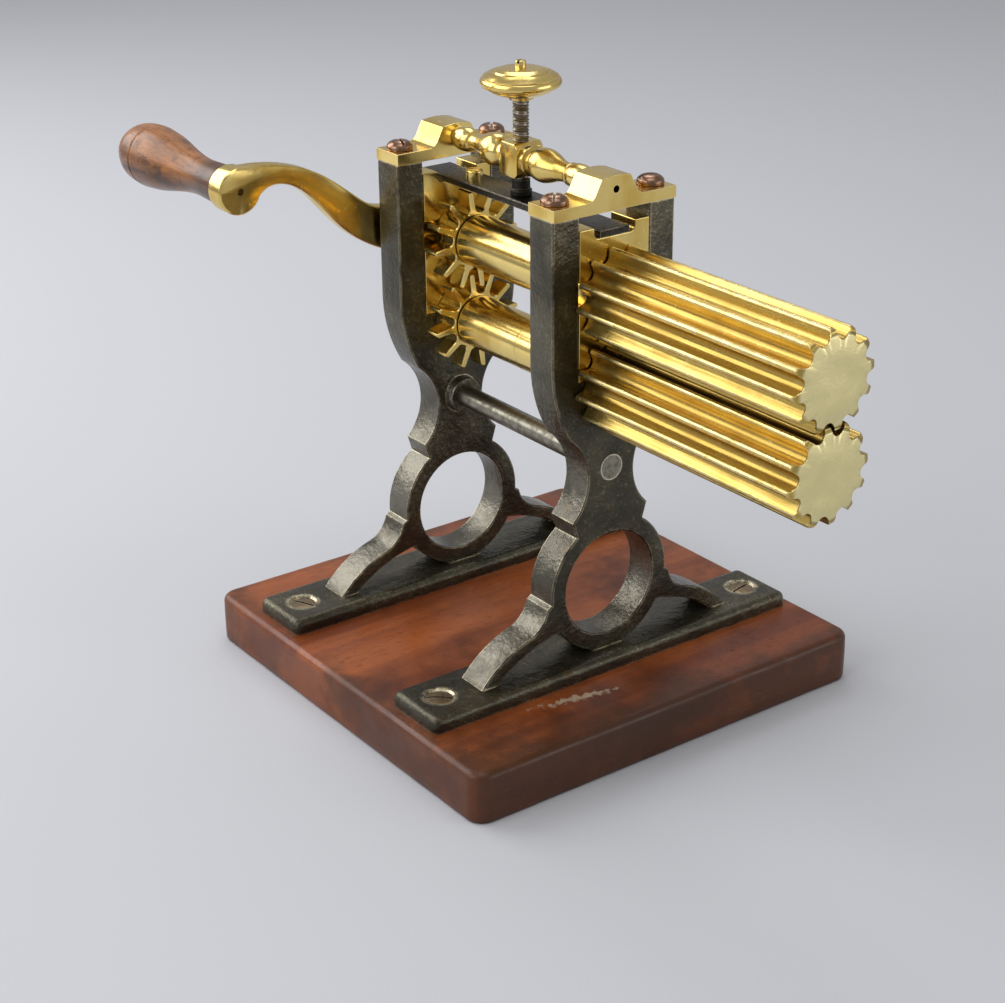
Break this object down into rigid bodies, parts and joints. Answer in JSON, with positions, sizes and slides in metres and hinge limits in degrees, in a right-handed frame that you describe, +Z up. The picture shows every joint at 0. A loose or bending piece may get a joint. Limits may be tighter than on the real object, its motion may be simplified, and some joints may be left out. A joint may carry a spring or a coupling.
{
  "type": "paper crimper",
  "caption": "Hand-cranked bench paper crimper with meshing fluted brass rollers overhung from two black cast-iron frames on a mahogany board, with a screw-down adjuster.",
  "frame": {"origin": "centre of the board's underside, on the surface it rests on", "axes": "+X along the rollers towards their free ends, +Y along the frames' feet away from the crank handle, +Z up"},
  "size_m": [0.3014, 0.1866, 0.2376],
  "materials": {
    "mahogany": "worn polish",
    "black_iron": "worn black",
    "polished_brass": "polished",
    "bronzed_screws": "bronzed",
    "spring_steel": "blued",
    "dark_steel": "worn",
    "turned_wood": "worn polish"
  },
  "bodies": {
    "stand": {"base_board": "mahogany", "rear_frame": "black_iron", "front_frame": "black_iron", "foot_screws": "dark_steel", "stay_rod": "black_iron", "rear_cap": "polished_brass", "front_cap": "polished_brass", "cap_screws": "bronzed_screws", "cross_bar": "polished_brass", "rear_middle_block": "polished_brass", "front_middle_block": "polished_brass"},
    "upper_bearings": {"rear_saddle": "polished_brass", "front_saddle": "polished_brass", "leaf_spring": "spring_steel", "spring_screw": "polished_brass", "pressure_pad": "dark_steel"},
    "upper_roller_set": {"upper_roller": "polished_brass", "upper_gear": "polished_brass", "upper_gear_pin": "dark_steel", "crank_arm": "polished_brass", "crank_nut": "dark_steel", "handle_spindle": "dark_steel"},
    "lower_roller_set": {"lower_roller": "polished_brass", "lower_gear": "polished_brass", "lower_gear_pin": "dark_steel"},
    "handle": {"handle_grip": "turned_wood"},
    "screw_set": {"pressure_screw": "dark_steel", "handwheel": "polished_brass", "wheel_nub": "polished_brass"}
  },
  "joints": [
    {"name": "roller_lift", "type": "slide", "parent": "stand", "child": "upper_bearings", "axis": [0, 0, 1], "range_m": [0, 0.00127]},
    {"name": "screw_turn", "type": "hinge", "parent": "upper_bearings", "child": "screw_set", "pos_m": [-0.0036, 0, 0.2024], "axis": [0, 0, 1], "range_deg": [0, 360]},
    {"name": "crank_spin", "type": "hinge", "parent": "upper_bearings", "child": "upper_roller_set", "pos_m": [0, 0, 0.1647], "axis": [1, 0, 0], "continuous": true},
    {"name": "lower_roller_spin", "type": "hinge", "parent": "stand", "child": "lower_roller_set", "pos_m": [0, 0, 0.1326], "axis": [1, 0, 0], "continuous": true},
    {"name": "handle_spin", "type": "hinge", "parent": "upper_roller_set", "child": "handle", "pos_m": [-0.09, -0.0845, 0.1915], "axis": [1, 0, 0], "continuous": true}
  ],
  "couplings": [
    {"joint": "screw_turn", "follows": "roller_lift", "rad_per_m": 4947.3},
    {"joint": "lower_roller_spin", "follows": "crank_spin", "ratio": -1}
  ]
}
